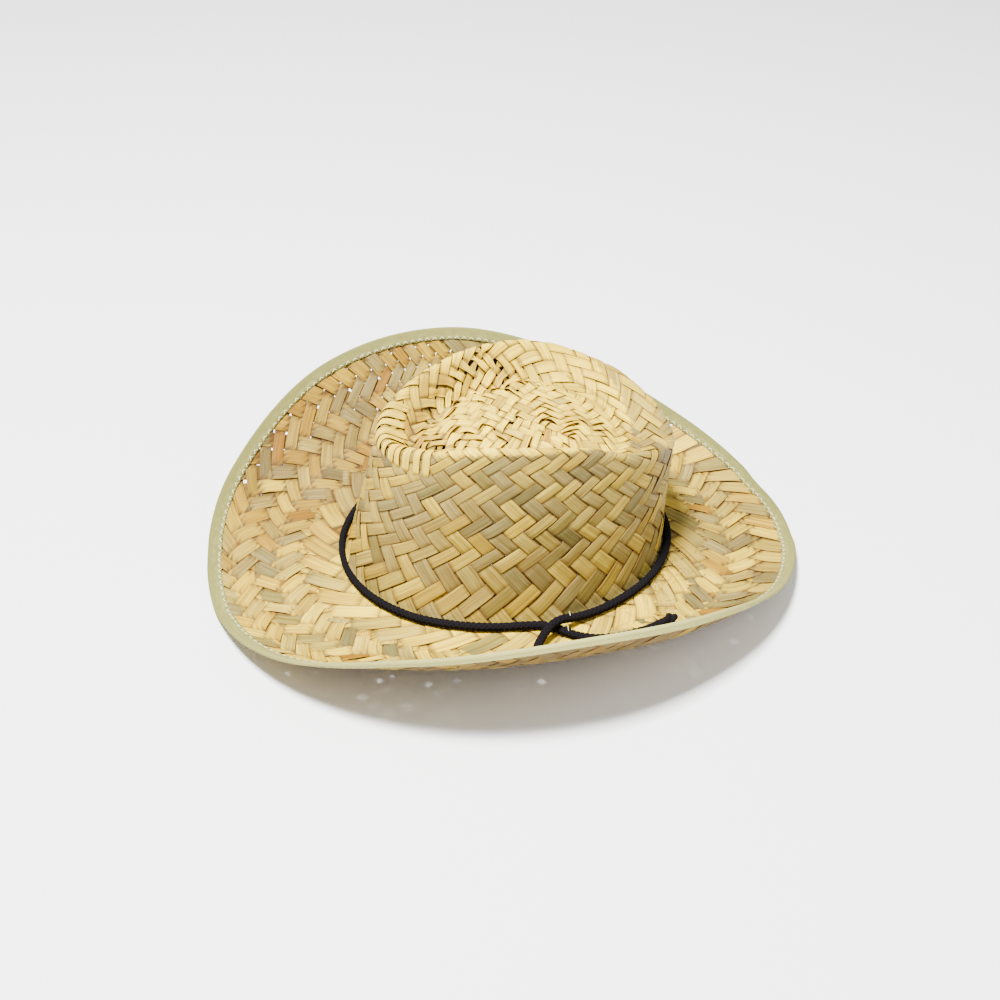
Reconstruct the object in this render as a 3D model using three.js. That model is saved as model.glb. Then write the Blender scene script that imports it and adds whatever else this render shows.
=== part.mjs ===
import * as THREE from 'three';

// Sizes, in millimetres

const crownBaseHalfLength = 96.7;
const crownBaseHalfWidth = 85.4;
const crownBaseHeight = 9;
const crownBaseBend = 3.5;
const crownHeight = 105;
const foldReach = 103;
const foldBend = 6;
const foldPeak = 1.5;
const dentReach = 70;
const dentDepth = 26;
const dentBend = 5;
const floorShoulderRise = 10;
const floorDomeRise = 11;
const brimWidth = 84.6;
const brimRise = 63;
const strawWall = 1.4;
const tapeThickness = 1;
const tapeDepth = 7.5;
const clearance = 0.3;
const cordDiameter = 5;
const knotLength = 9;
const knotDiameter = 7.6;

// The brim dips to the surface at the front and the back, and lies flat there for a short stretch, in degrees

const restHalfAngle = 7;
const restBlendAngle = 14;

// Shares of the brim's span and of the dent's floor that place its shaping points

const brimCurveShare = 0.35;
const floorShoulderShare = 0.75;
const floorDomeShare = 0.35;

// Numbers of stations round the hat, of steps in its bends, and of steps and sides of the cord

const azimuthSteps = 56;
const softBendSteps = 3;
const foldBendSteps = 4;
const cordSteps = 76;
const cordSides = 8;
const knotRings = 8;
const knotSides = 10;

// Brim sections from the front at 0 degrees to the back at 180, the same on both sides.
// reach is a share of brimWidth, rise of brimRise, base of crownBaseHeight. Slopes are in degrees.

const brimSections = [
  { azimuth: 0, reach: 1, rise: 0, edgeSlope: 0, rootSlope: -8, base: 1 },
  { azimuth: 30, reach: 0.938, rise: 0.262, edgeSlope: 36, rootSlope: -3, base: 1 },
  { azimuth: 60, reach: 0.873, rise: 0.723, edgeSlope: 59, rootSlope: 6, base: 1 },
  { azimuth: 90, reach: 0.935, rise: 1, edgeSlope: 57, rootSlope: 9, base: 0.95 },
  { azimuth: 120, reach: 1.015, rise: 0.844, edgeSlope: 49, rootSlope: 7, base: 0.8 },
  { azimuth: 150, reach: 1.027, rise: 0.312, edgeSlope: 30, rootSlope: -2, base: 0.6 },
  { azimuth: 180, reach: 0.985, rise: 0, edgeSlope: 0, rootSlope: -3, base: 0.5 },
];

// Sections of the crown's top, all the way round from the front.
// fold is a share of foldReach, height of crownHeight, foot of dentReach, drop of dentDepth.

const crownSections = [
  { azimuth: 0, fold: 0.998, height: 0.635, foot: 1, drop: 1.4 },
  { azimuth: 30, fold: 0.94, height: 0.77, foot: 0.914, drop: 1.16 },
  { azimuth: 60, fold: 0.706, height: 0.944, foot: 0.714, drop: 0.96 },
  { azimuth: 90, fold: 0.546, height: 1.001, foot: 0.528, drop: 0.94 },
  { azimuth: 120, fold: 0.527, height: 0.985, foot: 0.571, drop: 1 },
  { azimuth: 150, fold: 0.651, height: 0.883, foot: 0.657, drop: 1.15 },
  { azimuth: 180, fold: 0.729, height: 0.806, foot: 0.814, drop: 1.27 },
  { azimuth: 210, fold: 0.654, height: 0.885, foot: 0.657, drop: 1.15 },
  { azimuth: 240, fold: 0.603, height: 1.001, foot: 0.629, drop: 1 },
  { azimuth: 270, fold: 0.625, height: 1.022, foot: 0.6, drop: 0.94 },
  { azimuth: 300, fold: 0.67, height: 0.942, foot: 0.714, drop: 0.96 },
  { azimuth: 330, fold: 0.84, height: 0.753, foot: 0.886, drop: 1.16 },
];

// Route of the cord, from the knot behind the near brim, once round the crown, to the knot that shows.
// azimuth is in degrees, out is the distance from the foot of the crown, up the height over the brim.

const cordRoute = [
  { azimuth: 277.5, out: 53.5, up: 5 },
  { azimuth: 273.5, out: 52, up: 4.4 },
  { azimuth: 269.5, out: 49, up: 4 },
  { azimuth: 266.5, out: 44.5, up: 3.9 },
  { azimuth: 264.8, out: 38.5, up: 3.8 },
  { azimuth: 264.6, out: 33, up: 3.9 },
  { azimuth: 265.2, out: 28.5, up: 4.4 },
  { azimuth: 266.5, out: 24, up: 5.6 },
  { azimuth: 268.5, out: 19, up: 7.2 },
  { azimuth: 271, out: 15.2, up: 8.9 },
  { azimuth: 273.7, out: 12.9, up: 9.6 },
  { azimuth: 276.8, out: 10.2, up: 8.3 },
  { azimuth: 281, out: 7.7, up: 5.9 },
  { azimuth: 288, out: 6, up: 4.3 },
  { azimuth: 297, out: 5.1, up: 3.9 },
  { azimuth: 309, out: 4.3, up: 3.8 },
  { azimuth: 323, out: 3.9, up: 3.8 },
  { azimuth: 338, out: 3.6, up: 3.8 },
  { azimuth: 353, out: 3.6, up: 3.8 },
  { azimuth: 369, out: 3.7, up: 3.8 },
  { azimuth: 386, out: 3.7, up: 3.8 },
  { azimuth: 404, out: 3.7, up: 3.8 },
  { azimuth: 422, out: 3.6, up: 3.8 },
  { azimuth: 440, out: 3.5, up: 3.8 },
  { azimuth: 458, out: 3.4, up: 3.8 },
  { azimuth: 476, out: 3.3, up: 3.8 },
  { azimuth: 494, out: 3.2, up: 3.8 },
  { azimuth: 511, out: 3.2, up: 3.8 },
  { azimuth: 528, out: 3.2, up: 3.8 },
  { azimuth: 545, out: 3.2, up: 3.8 },
  { azimuth: 563, out: 3.3, up: 3.8 },
  { azimuth: 582, out: 3.8, up: 3.8 },
  { azimuth: 600, out: 3.6, up: 3.8 },
  { azimuth: 614, out: 3.7, up: 3.8 },
  { azimuth: 624, out: 4, up: 3.8 },
  { azimuth: 629.5, out: 6, up: 3.8 },
  { azimuth: 634, out: 12, up: 3.8 },
  { azimuth: 636.5, out: 19, up: 3.8 },
  { azimuth: 639, out: 26.5, up: 3.8 },
  { azimuth: 642, out: 34, up: 3.8 },
  { azimuth: 646, out: 39.5, up: 3.9 },
  { azimuth: 651, out: 42, up: 4.1 },
  { azimuth: 655.5, out: 42.8, up: 4.4 },
  { azimuth: 659.4, out: 42.8, up: 5 },
];

// A table column, smoothly joined from row to row round the hat

function column(rows, name, azimuth, mirrored) {
  const values = rows.map((row) => row[name]);
  const ring = mirrored ? values.concat(values.slice(1, -1).reverse()) : values;
  const count = ring.length;
  const turn = ((azimuth % 360) + 360) % 360;
  const place = (turn / 360) * count;
  const first = Math.floor(place);
  const share = place - first;
  const at = (offset) => ring[(first + offset + count) % count];
  const bend = 2 * at(-1) - 5 * at(0) + 4 * at(1) - at(2);
  const twist = 3 * at(0) - at(-1) - 3 * at(1) + at(2);
  return 0.5 * (2 * at(0) + (at(1) - at(-1)) * share + bend * share ** 2 + twist * share ** 3);
}

const brimColumn = (name, azimuth) => column(brimSections, name, azimuth, true);
const crownColumn = (name, azimuth) => column(crownSections, name, azimuth, false);
const radians = (degrees) => THREE.MathUtils.degToRad(degrees);

// How far the brim has left its flat resting stretch at this azimuth, from 0 to 1

function liftOff(azimuth) {
  const turn = ((azimuth % 360) + 360) % 360;
  const away = Math.min(turn, 360 - turn, Math.abs(turn - 180));
  return THREE.MathUtils.smoothstep(away, restHalfAngle, restBlendAngle);
}

// Half of the binding's own thickness lies under the brim, so the brim's edge rests this high

const edgeRestHeight = strawWall / 2 + clearance + tapeThickness;

function crownBaseRadius(azimuth) {
  const along = Math.cos(radians(azimuth)) / crownBaseHalfLength;
  const across = Math.sin(radians(azimuth)) / crownBaseHalfWidth;
  return 1 / Math.hypot(along, across);
}

// Shaping points of one section, from the brim's edge to the middle of the crown, as (radius, height).
// Each has the length that its bend takes on either side, and the bend's number of steps.

function sectionCorners(azimuth) {
  const away = liftOff(azimuth);
  const baseRadius = crownBaseRadius(azimuth);
  const baseHeight = crownBaseHeight * brimColumn('base', azimuth);
  const edge = new THREE.Vector2(
    baseRadius + brimWidth * brimColumn('reach', azimuth),
    edgeRestHeight + brimRise * brimColumn('rise', azimuth) * away,
  );
  const root = new THREE.Vector2(baseRadius, baseHeight);
  const curve = brimCurveShare * edge.distanceTo(root);
  const edgeSlope = radians(brimColumn('edgeSlope', azimuth)) * away;
  const rootSlope = radians(brimColumn('rootSlope', azimuth));
  const outer = new THREE.Vector2(Math.cos(edgeSlope), Math.sin(edgeSlope)).multiplyScalar(-curve).add(edge);
  const inner = new THREE.Vector2(Math.cos(rootSlope), Math.sin(rootSlope)).multiplyScalar(curve).add(root);
  const peak = crownBaseHeight + crownHeight;
  const foldHeight = crownBaseHeight + crownHeight * crownColumn('height', azimuth) + foldPeak;
  const fold = new THREE.Vector2(foldReach * crownColumn('fold', azimuth), foldHeight);
  const footRadius = dentReach * crownColumn('foot', azimuth);
  const foot = new THREE.Vector2(footRadius, peak - dentDepth * crownColumn('drop', azimuth));
  const shoulder = new THREE.Vector2(floorShoulderShare * footRadius, foot.y + floorShoulderRise);
  const domeHeight = peak - dentDepth + floorDomeRise;
  const dome = new THREE.Vector2(floorDomeShare * footRadius, domeHeight);
  return [
    { point: edge },
    { point: outer, bend: Infinity, steps: softBendSteps },
    { point: inner, bend: Infinity, steps: softBendSteps },
    { point: root, bend: crownBaseBend, steps: softBendSteps },
    { point: fold, bend: foldBend, steps: foldBendSteps },
    { point: foot, bend: dentBend, steps: softBendSteps },
    { point: shoulder, bend: Infinity, steps: softBendSteps },
    { point: dome, bend: Infinity, steps: softBendSteps },
    { point: new THREE.Vector2(0, domeHeight) },
  ];
}

// Points of one bend: a parabola between the two straight runs.
// A soft bend takes half of each run, and leaves out the point that it shares with a soft bend before it.

function bendPoints(before, corner, after) {
  const limit = corner.bend === Infinity ? 0.5 : 0.45;
  const reach = (other) => Math.min(corner.bend, limit * corner.point.distanceTo(other.point));
  const along = (other) => other.point.clone().sub(corner.point).setLength(reach(other)).add(corner.point);
  const start = along(before);
  const end = along(after);
  const shared = corner.bend === Infinity && before.bend === Infinity;
  const points = [];
  for (let step = shared ? 1 : 0; step <= corner.steps; step += 1) {
    const t = step / corner.steps;
    const point = start.clone().multiplyScalar((1 - t) ** 2);
    point.addScaledVector(corner.point, 2 * t * (1 - t)).addScaledVector(end, t * t);
    points.push(point);
  }
  return points;
}

function sectionPoints(azimuth) {
  const corners = sectionCorners(azimuth);
  const edge = corners[0].point;
  const underTape = corners[1].point.clone().sub(edge).setLength(tapeDepth).add(edge);
  const points = [edge, underTape];
  for (let i = 1; i < corners.length - 1; i += 1) {
    points.push(...bendPoints(corners[i - 1], corners[i], corners[i + 1]));
  }
  points.push(corners.at(-1).point);
  return points;
}

// The direction square to the section at one of its points, towards the outside of the crown and the brim's top

function sectionNormal(points, index) {
  const last = points.length - 1;
  if (index === last) {
    return new THREE.Vector2(0, 1);
  }
  const from = points[Math.max(index - 1, 0)];
  const to = points[index + 1];
  const along = to.clone().sub(from).normalize();
  return new THREE.Vector2(along.y, -along.x);
}

function place(azimuth, radius, height) {
  return new THREE.Vector3(radius * Math.sin(radians(azimuth)), -radius * Math.cos(radians(azimuth)), height);
}

function geometryFrom(points, triangles) {
  const geometry = new THREE.BufferGeometry();
  geometry.setAttribute('position', new THREE.Float32BufferAttribute(points.flatMap((p) => p.toArray()), 3));
  geometry.setIndex(triangles.flat());
  geometry.computeVertexNormals();
  return geometry;
}

// A closed ring of cross-sections: every section is a closed loop of points, and the last joins the first

function ringGeometry(sections) {
  const size = sections[0].length;
  const triangles = [];
  for (let i = 0; i < sections.length; i += 1) {
    const next = (i + 1) % sections.length;
    for (let j = 0; j < size; j += 1) {
      const after = (j + 1) % size;
      triangles.push([i * size + j, next * size + j, i * size + after]);
      triangles.push([next * size + j, next * size + after, i * size + after]);
    }
  }
  return geometryFrom(sections.flat(), triangles);
}

// The plaited body: crown and brim are one shell, open underneath for the head

function bodyGeometry() {
  const points = [];
  const loops = [];
  for (let i = 0; i < azimuthSteps; i += 1) {
    const azimuth = (360 * i) / azimuthSteps;
    const section = sectionPoints(azimuth);
    const side = (sign) => section.slice(0, -1).map((point, index) => {
      const moved = sectionNormal(section, index).multiplyScalar((sign * strawWall) / 2).add(point);
      return place(azimuth, moved.x, moved.y);
    });
    const loop = [...side(-1).reverse(), ...side(1)];
    loops.push(loop.map((point) => points.push(point) - 1));
  }
  const middleHeight = sectionPoints(0).at(-1).y;
  const under = points.push(new THREE.Vector3(0, 0, middleHeight - strawWall / 2)) - 1;
  const over = points.push(new THREE.Vector3(0, 0, middleHeight + strawWall / 2)) - 1;
  const triangles = [];
  loops.forEach((loop, i) => {
    const next = loops[(i + 1) % loops.length];
    for (let j = 0; j < loop.length - 1; j += 1) {
      triangles.push([loop[j], next[j], next[j + 1]]);
      triangles.push([loop[j], next[j + 1], loop[j + 1]]);
    }
    triangles.push([under, next[0], loop[0]]);
    triangles.push([over, loop.at(-1), next.at(-1)]);
  });
  return geometryFrom(points, triangles);
}

// The binding: a tape folded over the brim's edge, clear of the straw by the clearance

function bindingGeometry() {
  const inside = strawWall / 2 + clearance;
  const outside = inside + tapeThickness;
  const outline = [
    [-clearance - tapeThickness, outside],
    [tapeDepth, outside],
    [tapeDepth, inside],
    [-clearance, inside],
    [-clearance, -inside],
    [tapeDepth, -inside],
    [tapeDepth, -outside],
    [-clearance - tapeThickness, -outside],
  ];
  const sections = [];
  for (let i = 0; i < azimuthSteps; i += 1) {
    const azimuth = (360 * i) / azimuthSteps;
    const [edge, outer] = sectionCorners(azimuth).map((corner) => corner.point);
    const inward = outer.clone().sub(edge).normalize();
    const upward = new THREE.Vector2(inward.y, -inward.x);
    sections.push(outline.map(([back, up]) => {
      const point = edge.clone().addScaledVector(inward, back).addScaledVector(upward, up);
      return place(azimuth, point.x, point.y);
    }));
  }
  return ringGeometry(sections);
}

// A point over the brim, at a distance out from the foot of the crown and a height square to the brim

function pointOverBrim({ azimuth, out, up }) {
  const corners = sectionCorners(azimuth);
  const brim = [corners[0].point];
  brim.push(...bendPoints(corners[0], corners[1], corners[2]));
  brim.push(...bendPoints(corners[1], corners[2], corners[3]));
  brim.push(corners[3].point);
  const radius = corners[3].point.x + out;
  const index = brim.findIndex((point) => point.x <= radius);
  const low = brim[index];
  const high = brim[index - 1];
  const along = high.clone().sub(low).normalize();
  const share = (radius - low.x) / (high.x - low.x);
  const point = low.clone().lerp(high, share).addScaledVector(new THREE.Vector2(-along.y, along.x), up);
  return place(azimuth, point.x, point.y);
}

const cordCurve = new THREE.CatmullRomCurve3(cordRoute.map(pointOverBrim));

function cordGeometry() {
  const section = new THREE.Shape();
  section.absarc(0, 0, cordDiameter / 2, 0, 2 * Math.PI);
  const outline = new THREE.Shape(section.getSpacedPoints(cordSides).slice(0, cordSides));
  return new THREE.ExtrudeGeometry(outline, { steps: cordSteps, extrudePath: cordCurve, bevelEnabled: false });
}

// A knot tied in the cord's end, in line with the cord and just clear of it

function knotMesh(name, end) {
  const geometry = new THREE.SphereGeometry(0.5, knotSides, knotRings);
  geometry.scale(knotDiameter, knotLength, knotDiameter);
  const away = cordCurve.getTangent(end).multiplyScalar(end === 0 ? -1 : 1);
  const knot = new THREE.Mesh(geometry, cordMaterial());
  knot.name = name;
  knot.quaternion.setFromUnitVectors(new THREE.Vector3(0, 1, 0), away);
  knot.position.copy(cordCurve.getPoint(end)).addScaledVector(away, knotLength / 2 + clearance);
  return knot;
}

function strawMaterial() {
  return new THREE.MeshStandardMaterial({ color: 0xd8c48c, roughness: 0.6, metalness: 0, side: THREE.DoubleSide });
}

function tapeMaterial() {
  return new THREE.MeshStandardMaterial({ color: 0xd3d2ae, roughness: 0.85, metalness: 0 });
}

function cordMaterial() {
  return new THREE.MeshStandardMaterial({ color: 0x1b1a20, roughness: 0.9, metalness: 0 });
}

function namedMesh(name, geometry, material) {
  const mesh = new THREE.Mesh(geometry, material);
  mesh.name = name;
  return mesh;
}

const hat = new THREE.Group();
hat.name = 'straw_cowboy_hat';
hat.add(namedMesh('straw_body', bodyGeometry(), strawMaterial()));
hat.add(namedMesh('brim_binding', bindingGeometry(), tapeMaterial()));
hat.add(namedMesh('hat_cord', cordGeometry(), cordMaterial()));
hat.add(knotMesh('hidden_end_knot', 0));
hat.add(knotMesh('front_end_knot', 1));

export default hat;
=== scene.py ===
import math

import bmesh
import bpy
import numpy as np
from mathutils import Matrix, Vector


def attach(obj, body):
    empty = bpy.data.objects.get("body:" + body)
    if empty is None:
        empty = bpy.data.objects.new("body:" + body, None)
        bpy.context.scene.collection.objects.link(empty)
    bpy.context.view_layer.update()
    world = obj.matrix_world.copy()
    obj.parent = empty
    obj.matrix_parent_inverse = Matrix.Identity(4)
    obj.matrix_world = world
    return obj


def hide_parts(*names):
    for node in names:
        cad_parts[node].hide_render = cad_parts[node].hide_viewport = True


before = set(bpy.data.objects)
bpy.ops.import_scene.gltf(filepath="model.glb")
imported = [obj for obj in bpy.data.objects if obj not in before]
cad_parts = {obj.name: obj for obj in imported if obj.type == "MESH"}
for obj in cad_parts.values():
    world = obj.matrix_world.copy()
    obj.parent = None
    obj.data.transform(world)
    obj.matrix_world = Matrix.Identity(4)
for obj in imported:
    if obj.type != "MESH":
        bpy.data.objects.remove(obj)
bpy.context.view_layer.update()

# Sizes in metres, and the shares of the dent's reach at which its floor bends

CROWN_BASE_HALF_LENGTH = 0.0967
CROWN_BASE_HALF_WIDTH = 0.0854
CROWN_BASE_HEIGHT = 0.009
CROWN_BASE_BEND = 0.0035
CROWN_HEIGHT = 0.105
FOLD_REACH = 0.103
FOLD_BEND = 0.006
FOLD_PEAK = 0.0015
DENT_REACH = 0.070
DENT_DEPTH = 0.026
DENT_BEND = 0.005
FLOOR_SHOULDER = 0.75
FLOOR_SHOULDER_RISE = 0.010
FLOOR_DOME = 0.35
FLOOR_DOME_RISE = 0.011
BRIM_WIDTH = 0.0846
BRIM_RISE = 0.063
EDGE_REST_HEIGHT = 0.0016
TAPE_DEPTH = 0.0075
KNOT_LENGTH = 0.009
KNOT_CLEARANCE = 0.0003

# Brim sections every 30 degrees from the front to the back, the same on both sides

BRIM_REACH = [1, 0.938, 0.873, 0.935, 1.015, 1.027, 0.985]
BRIM_LIFT = [0, 0.262, 0.723, 1, 0.844, 0.312, 0]
BRIM_EDGE_SLOPE = [0, 36, 59, 57, 49, 30, 0]
BRIM_ROOT_SLOPE = [-8, -3, 6, 9, 7, -2, -3]
BRIM_BASE = [1, 1, 1, 0.95, 0.8, 0.6, 0.5]

# Crown sections every 30 degrees, all the way round from the front

CROWN_FOLD = [0.998, 0.94, 0.706, 0.546, 0.527, 0.651, 0.729, 0.654, 0.603, 0.625, 0.67, 0.84]
CROWN_TOP = [0.635, 0.77, 0.944, 1.001, 0.985, 0.883, 0.806, 0.885, 1.001, 1.022, 0.942, 0.753]
DENT_FOOT = [1, 0.914, 0.714, 0.528, 0.571, 0.657, 0.814, 0.657, 0.629, 0.6, 0.714, 0.886]
DENT_DROP = [1.4, 1.16, 0.96, 0.94, 1, 1.15, 1.27, 1.15, 1, 0.94, 0.96, 1.16]

# The cord's route: azimuth in degrees, and millimetres out from the crown's foot and over the brim

CORD_ROUTE = [
    (277.5, 53.5, 5), (273.5, 52, 4.4), (269.5, 49, 4), (266.5, 44.5, 3.9), (264.8, 38.5, 3.8),
    (264.6, 33, 3.9), (265.2, 28.5, 4.4), (266.5, 24, 5.6), (268.5, 19, 7.2), (271, 15.2, 8.9),
    (273.7, 12.9, 9.6), (276.8, 10.2, 8.3), (281, 7.7, 5.9), (288, 6, 4.3), (297, 5.1, 3.9),
    (309, 4.3, 3.8), (323, 3.9, 3.8), (338, 3.6, 3.8), (353, 3.6, 3.8), (369, 3.7, 3.8),
    (386, 3.7, 3.8), (404, 3.7, 3.8), (422, 3.6, 3.8), (440, 3.5, 3.8), (458, 3.4, 3.8),
    (476, 3.3, 3.8), (494, 3.2, 3.8), (511, 3.2, 3.8), (528, 3.2, 3.8), (545, 3.2, 3.8),
    (563, 3.3, 3.8), (582, 3.8, 3.8), (600, 3.6, 3.8), (614, 3.7, 3.8), (624, 4, 3.8),
    (629.5, 6, 3.8), (634, 12, 3.8), (636.5, 19, 3.8), (639, 26.5, 3.8), (642, 34, 3.8),
    (646, 39.5, 3.9), (651, 42, 4.1), (655.5, 42.8, 4.4), (659.4, 42.8, 5),
]

# Camera, with its own right, up and back directions


def make_camera():
    """The photo's camera."""
    data = bpy.data.cameras.new("camera")
    data.sensor_width = 36
    data.lens = 54.04
    data.shift_x = -0.004
    data.shift_y = -0.020
    camera = bpy.data.objects.new("camera", data)
    bpy.context.scene.collection.objects.link(camera)
    right = Vector((-0.242306, -0.969940, 0.022444))
    up = Vector((0.562483, -0.121593, 0.817819))
    back = Vector((-0.790507, 0.210787, 0.575037))
    turn = Matrix((right, up, back)).transposed().to_4x4()
    place = Vector((-0.71146, 0.19110, 0.56919))
    camera.matrix_world = Matrix.Translation(place) @ turn
    bpy.context.scene.camera = camera


make_camera()

# The hat's surface: one section for every azimuth, from the middle of the crown to the brim's edge

AZIMUTHS = 720
CROWN_ROWS = 240
BRIM_ROWS = 120
BEND_STEPS = 12
REST_HALF_ANGLE = 7
EDGE_FULLNESS = 0.35


def unit(vectors):
    return vectors / np.linalg.norm(vectors, axis=-1, keepdims=True)


def eased(value):
    """A smooth step that rises from 0 to 1 as the value does."""
    t = np.clip(value, 0, 1)
    return t * t * (3 - 2 * t)


def hump(value, centre, width):
    """1 at the centre, falling off smoothly to both sides."""
    return np.exp(-(((value - centre) / width) ** 2))


def from_front(azimuth):
    """The same angle as degrees from -180 to 180."""
    return (azimuth + 180) % 360 - 180


def around(azimuth, radius, height):
    """Points at azimuths in degrees from the front of the hat."""
    turn = np.radians(azimuth)
    return np.stack(np.broadcast_arrays(radius * np.sin(turn), -radius * np.cos(turn), height), -1)


def run_along(line):
    """Distance along a line of each of its points."""
    return np.concatenate([[0], np.cumsum(np.linalg.norm(np.diff(line, axis=0), axis=1))])


def mirrored(values):
    """Values from the front to the back, and back again to the front."""
    return values + values[-2:0:-1]


def joined(values, azimuth):
    """A column of values, smoothly joined round the hat."""
    values = np.asarray(values, float)
    count = len(values)
    place = (np.asarray(azimuth, float) % 360) / 360 * count
    first = np.floor(place).astype(int)
    s = place - first
    a, b, c, d = (values[(first + k) % count] for k in (-1, 0, 1, 2))
    return b + 0.5 * s * (c - a + s * (2 * a - 5 * b + 4 * c - d + s * (3 * (b - c) + d - a)))


def lift_off(azimuth):
    """0 where the brim rests, at the front and the back, and 1 away from there."""
    turn = np.asarray(azimuth, float) % 360
    away = np.minimum(np.minimum(turn, 360 - turn), np.abs(turn - 180))
    return eased(away / REST_HALF_ANGLE - 1)


def base_radius(azimuth):
    """Radius of the foot of the crown, which is an ellipse."""
    turn = np.radians(azimuth)
    return 1 / np.hypot(np.cos(turn) / CROWN_BASE_HALF_LENGTH, np.sin(turn) / CROWN_BASE_HALF_WIDTH)


def section_corners(azimuth):
    """Shaping points of the sections as (azimuth, corner, radius and height)."""
    azimuth = np.asarray(azimuth, float)
    away = lift_off(azimuth)
    base = base_radius(azimuth)
    root = np.stack([base, CROWN_BASE_HEIGHT * joined(mirrored(BRIM_BASE), azimuth)], -1)
    reach = base + BRIM_WIDTH * joined(mirrored(BRIM_REACH), azimuth)
    edge = np.stack([reach, EDGE_REST_HEIGHT + BRIM_RISE * joined(mirrored(BRIM_LIFT), azimuth) * away], -1)
    curve = EDGE_FULLNESS * np.linalg.norm(edge - root, axis=-1)[..., None]
    edge_slope = np.radians(joined(mirrored(BRIM_EDGE_SLOPE), azimuth)) * away
    root_slope = np.radians(joined(mirrored(BRIM_ROOT_SLOPE), azimuth))
    outer = edge - curve * np.stack([np.cos(edge_slope), np.sin(edge_slope)], -1)
    inner = root + curve * np.stack([np.cos(root_slope), np.sin(root_slope)], -1)
    peak = CROWN_BASE_HEIGHT + CROWN_HEIGHT
    top = CROWN_BASE_HEIGHT + CROWN_HEIGHT * joined(CROWN_TOP, azimuth) + FOLD_PEAK
    fold = np.stack([FOLD_REACH * joined(CROWN_FOLD, azimuth), top], -1)
    foot_radius = DENT_REACH * joined(DENT_FOOT, azimuth)
    foot = np.stack([foot_radius, peak - DENT_DEPTH * joined(DENT_DROP, azimuth)], -1)
    shoulder = np.stack([FLOOR_SHOULDER * foot_radius, foot[..., 1] + FLOOR_SHOULDER_RISE], -1)
    floor = np.full_like(base, peak - DENT_DEPTH + FLOOR_DOME_RISE)
    dome = np.stack([FLOOR_DOME * foot_radius, floor], -1)
    middle = np.stack([np.zeros_like(base), floor], -1)
    return [middle, dome, shoulder, foot, fold, root, inner, outer, edge]


CORNER_BENDS = [0, math.inf, math.inf, DENT_BEND, FOLD_BEND, CROWN_BASE_BEND, math.inf, math.inf, 0]


def bend(before, corner, after, reach, steps):
    """A parabola from one straight run to the next."""
    limit = 0.5 if reach == math.inf else 0.45
    points = []
    for other in (before, after):
        away = other - corner
        length = np.linalg.norm(away, axis=-1)[..., None]
        points.append(corner + unit(away) * np.minimum(reach, limit * length))
    t = np.linspace(0, 1, steps + 1)[:, None]
    start, end = (p[..., None, :] for p in points)
    return start * (1 - t) ** 2 + corner[..., None, :] * 2 * t * (1 - t) + end * t**2


def resampled(points, count):
    """The same line with its points evenly spaced, for every azimuth."""
    steps = np.linalg.norm(np.diff(points, axis=1), axis=-1)
    run = np.concatenate([np.zeros((len(points), 1)), np.cumsum(steps, axis=1)], axis=1)
    even = np.linspace(0, 1, count)
    out = np.empty((len(points), count, 2))
    for i in range(len(points)):
        for k in range(2):
            out[i, :, k] = np.interp(even * run[i, -1], run[i], points[i, :, k])
    return out


def surface_grid():
    """Points of the surface and its outward normals, with a second copy of the first azimuth at the end."""
    azimuth = np.arange(AZIMUTHS) * 360 / AZIMUTHS
    corners = section_corners(azimuth)
    bends = [
        bend(corners[i - 1], corners[i], corners[i + 1], CORNER_BENDS[i], BEND_STEPS)
        for i in range(1, len(corners) - 1)
    ]
    root = BEND_STEPS // 2
    crown = np.concatenate([corners[0][:, None], *bends[:4], bends[4][:, : root + 1]], axis=1)
    brim = np.concatenate([bends[4][:, root:], *bends[5:], corners[-1][:, None]], axis=1)
    brim = resampled(brim, BRIM_ROWS + 1)[:, 1:]
    section = np.concatenate([resampled(crown, CROWN_ROWS + 1), brim], axis=1)
    points = around(azimuth[:, None], section[..., 0], section[..., 1])
    points = np.concatenate([points[-1:], points, points[:2]])
    normal = np.cross(np.gradient(points, axis=1), np.gradient(points, axis=0))
    normal[:, 0] = (0, 0, 1)
    normal = normal / np.maximum(np.linalg.norm(normal, axis=-1)[..., None], 1e-12)
    normal[:, 1] = normal[:, 2]
    return points[1:-1], normal[1:-1]


SURFACE, NORMALS = surface_grid()


def on_surface(turns, share):
    """Points and normals at a share of a turn from the front, and at a share of the section:
    0 in the middle of the crown, 1 at its foot and 2 at the brim's edge."""
    column = (turns % 1) * AZIMUTHS
    row = np.where(share < 1, share * CROWN_ROWS, CROWN_ROWS + (share - 1) * BRIM_ROWS)
    row = np.clip(row, 0, CROWN_ROWS + BRIM_ROWS - 1e-6)
    i, j = np.floor(column).astype(int) % AZIMUTHS, np.floor(row).astype(int)
    s, t = (column - np.floor(column))[..., None], (row - j)[..., None]
    found = []
    for grid in (SURFACE, NORMALS):
        low = grid[i, j] * (1 - t) + grid[i, j + 1] * t
        high = grid[i + 1, j] * (1 - t) + grid[i + 1, j + 1] * t
        found.append(low * (1 - s) + high * s)
    return found[0], unit(found[1])


# Pieces


def link(name, mesh, material, slot, *nodes):
    """A piece of the object, in place of the CAD nodes that it stands for."""
    piece = bpy.data.objects.new(name, mesh)
    bpy.context.scene.collection.objects.link(piece)
    mesh.materials.append(material)
    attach(piece, "root")
    if nodes:
        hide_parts(*nodes)
    return piece


def grid_mesh(name, columns, rows, copies):
    """Flat grids in one mesh, and for each of their points its place across and along, from 0 to 1."""
    made = bmesh.new()
    for _ in range(copies):
        bmesh.ops.create_grid(made, x_segments=columns, y_segments=rows, size=0.5)
    mesh = bpy.data.meshes.new(name)
    made.to_mesh(mesh)
    made.free()
    flat = np.empty(len(mesh.vertices) * 3)
    mesh.vertices.foreach_get("co", flat)
    places = flat.reshape(copies, -1, 3)[..., :2] + 0.5
    return mesh, places


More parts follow.
